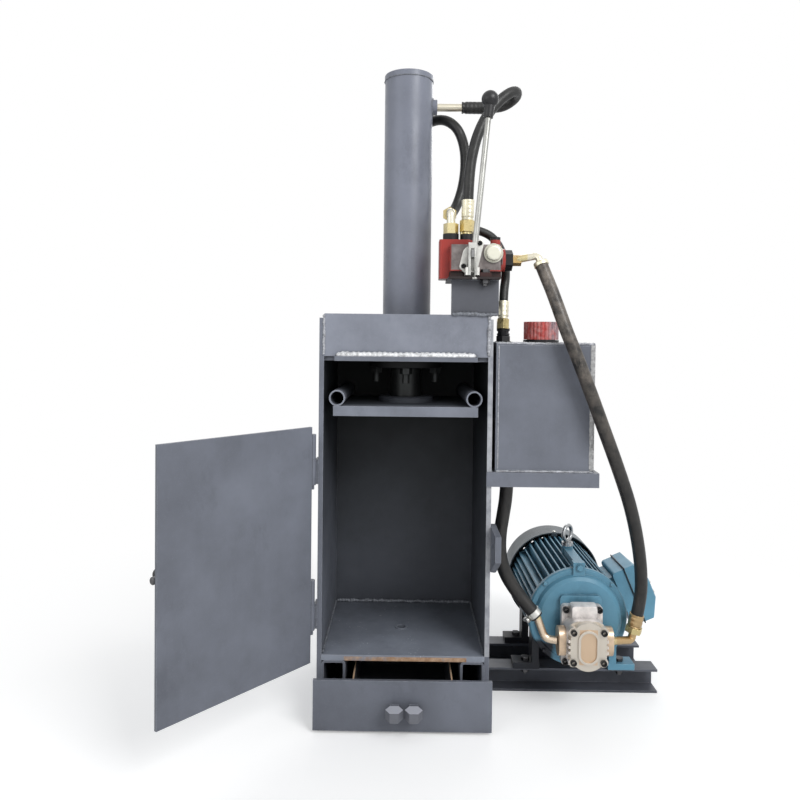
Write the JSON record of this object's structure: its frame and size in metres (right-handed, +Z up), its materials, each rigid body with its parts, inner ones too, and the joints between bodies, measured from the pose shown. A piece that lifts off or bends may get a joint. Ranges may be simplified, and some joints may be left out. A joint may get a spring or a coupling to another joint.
{
  "type": "hydraulic drum flattening press",
  "caption": "Upright hydraulic press with door, drip drawer, oil tank, lever valve and motor pump unit for flattening small drums.",
  "frame": {"origin": "on the floor under the middle of the machine without its hoses", "axes": "+Z up, +Y from the door side to the back, +X from the press cabinet to the motor and pump"},
  "size_m": [1.0346, 0.7438, 1.396],
  "materials": {
    "aluminium": "die cast",
    "bare_steel": "turned",
    "black_plastic": "moulded",
    "cowl_paint": "gloss enamel",
    "dark_paint": "semi-gloss enamel",
    "grey_paint": "semi-gloss enamel",
    "hose_rubber": "cloth-marked rubber",
    "motor_paint": "gloss enamel",
    "red_plastic": "moulded",
    "valve_paint": "gloss enamel",
    "yellow_zinc": "yellow zinc plated",
    "zinc": "zinc plated"
  },
  "bodies": {
    "press_frame": {"back_plate": "grey_paint", "chamber_floor": "grey_paint", "cylinder_cap": "grey_paint", "cylinder_plate": "grey_paint", "cylinder_tube": "grey_paint", "drawer_runners": "grey_paint", "fan_cowl": "cowl_paint", "filler_neck": "black_plastic", "flange_bolts": "bare_steel", "frame_bolts": "bare_steel", "frame_hinge_leaves": "grey_paint", "front_header": "grey_paint", "hose_cap_side": "hose_rubber", "hose_clamps": "zinc", "hose_ferrules": "zinc", "hose_nuts": "yellow_zinc", "hose_pressure": "hose_rubber", "hose_return": "hose_rubber", "hose_rod_side": "hose_rubber", "hose_suction": "hose_rubber", "latch_keeper": "grey_paint", "lever_plate": "zinc", "lifting_eye": "motor_paint", "motor_beams": "dark_paint", "motor_end_shields": "motor_paint", "motor_housing": "motor_paint", "oil_pipes": "yellow_zinc", "pump_body": "aluminium", "pump_bolts": "bare_steel", "pump_cover": "aluminium", "pump_port_flanges": "yellow_zinc", "rod_gland": "bare_steel", "side_plates": "grey_paint", "skid_tubes": "grey_paint", "tank_ends": "grey_paint", "tank_shelf": "grey_paint", "tank_top": "grey_paint", "tank_wrap": "grey_paint", "terminal_box": "motor_paint", "terminal_lid": "motor_paint", "valve_body": "valve_paint", "valve_bracket": "grey_paint", "valve_caps": "zinc"},
    "door": {"door_panel": "grey_paint", "door_hinge_leaves": "grey_paint"},
    "latch": {"latch_bolt": "bare_steel", "latch_knob": "black_plastic"},
    "drawer": {"drawer_tray": "grey_paint", "drawer_front": "grey_paint"},
    "ram": {"piston": "bare_steel", "ram_rod": "bare_steel", "platen": "grey_paint", "platen_pipes": "grey_paint"},
    "lever": {"lever_boss": "zinc", "lever_rod": "zinc", "lever_knob": "black_plastic"},
    "spool": {"valve_spool": "bare_steel"},
    "cap": {"filler_cap": "red_plastic"},
    "rotor": {"motor_rotor": "bare_steel", "cooling_fan": "black_plastic"}
  },
  "joints": [
    {"name": "door_hinge", "type": "hinge", "parent": "press_frame", "child": "door", "pos_m": [-0.26512, -0.09307, 0], "axis": [0, 0, -1], "range_deg": [-130, 49]},
    {"name": "latch_slide", "type": "slide", "parent": "door", "child": "latch", "axis": [-0.6428, -0.766, 0], "range_m": [0, 0.03]},
    {"name": "drawer_slide", "type": "slide", "parent": "press_frame", "child": "drawer", "axis": [0, -1, 0], "range_m": [-0.0367, 0.22]},
    {"name": "ram_slide", "type": "slide", "parent": "press_frame", "child": "ram", "axis": [0, 0, -1], "range_m": [0, 0.46]},
    {"name": "lever_pivot", "type": "hinge", "parent": "press_frame", "child": "lever", "pos_m": [0.05887, -0.10207, 0.942], "axis": [1, 0, 0], "range_deg": [-8, 8], "stiffness_Nm_per_rad": 12},
    {"name": "spool_slide", "type": "slide", "parent": "press_frame", "child": "spool", "axis": [0, -1, 0], "range_m": [-0.0051, 0.0051]},
    {"name": "cap_lift", "type": "slide", "parent": "press_frame", "child": "cap", "axis": [0, 0, 1], "range_m": [0, 0.06]},
    {"name": "rotor_spin", "type": "hinge", "parent": "press_frame", "child": "rotor", "pos_m": [0.31588, 0.11393, 0.186], "axis": [0, 1, 0], "continuous": true}
  ],
  "couplings": [
    {"joint": "spool_slide", "follows": "lever_pivot", "m_per_rad": 0.036}
  ]
}
